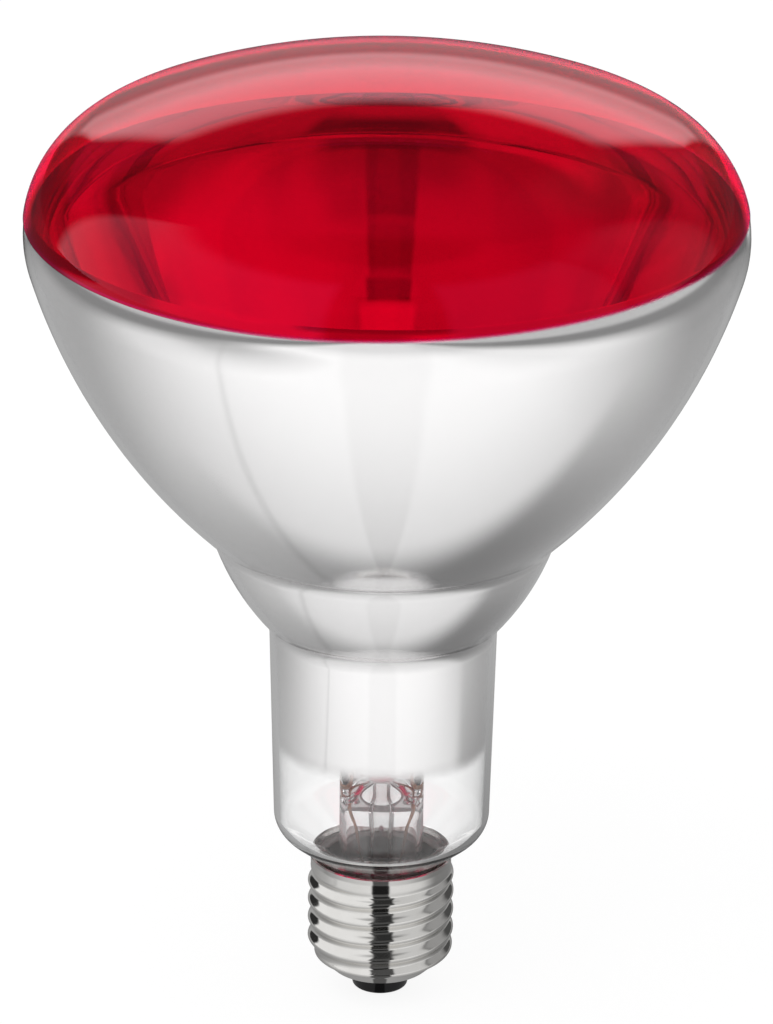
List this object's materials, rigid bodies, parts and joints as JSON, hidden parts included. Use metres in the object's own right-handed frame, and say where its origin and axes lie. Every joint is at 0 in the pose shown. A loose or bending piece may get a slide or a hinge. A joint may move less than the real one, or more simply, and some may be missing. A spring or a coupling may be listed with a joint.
{
  "type": "infrared heat lamp bulb",
  "caption": "Blown glass reflector bulb with a mirrored bowl, a red lacquered face, a filament on a glass stem and a threaded screw cap.",
  "frame": {"origin": "tip of the centre contact's solder, the lowest point of the lamp, on the lamp's axis", "axes": "+Z along the lamp's axis from the contact towards the red face; +X to the right and +Y away from the viewer, with the side solder at +Y"},
  "size_m": [0.125, 0.125, 0.1734],
  "materials": {
    "clear_glass": "clear blown glass, fire polished",
    "mirror_film": "vacuum deposited aluminium behind glass",
    "red_lacquer": "clear red heat-proof lacquer, high gloss",
    "stem_glass": "drawn and pressed lead glass",
    "molybdenum_wire": "drawn molybdenum wire",
    "nickel_wire": "drawn nickel wire",
    "copper_wire": "drawn copper wire",
    "tungsten_coil": "wound tungsten wire",
    "nickel_plate": "bright nickel plate on rolled brass",
    "black_glass": "poured black glass, glossy",
    "contact_brass": "punched brass, dull",
    "solder": "tin solder as it froze",
    "basing_cement": "baked basing cement, dry and chalky"
  },
  "bodies": {
    "root": {"glass_envelope": "clear_glass", "mirror_coating": "mirror_film", "red_face_coating": "red_lacquer", "stem": "stem_glass", "exhaust_tube": "stem_glass", "support_rod": "stem_glass", "support_wire_1": "molybdenum_wire", "support_wire_2": "molybdenum_wire", "support_wire_3": "molybdenum_wire", "support_wire_4": "molybdenum_wire", "support_wire_5": "molybdenum_wire", "inner_lead_left": "nickel_wire", "inner_lead_right": "nickel_wire", "outer_lead_centre": "copper_wire", "outer_lead_side": "copper_wire", "filament": "tungsten_coil", "screw_shell": "nickel_plate", "insulator": "black_glass", "contact_plate": "contact_brass", "centre_solder": "solder", "side_solder": "solder", "basing_cement": "basing_cement"}
  },
  "joints": []
}
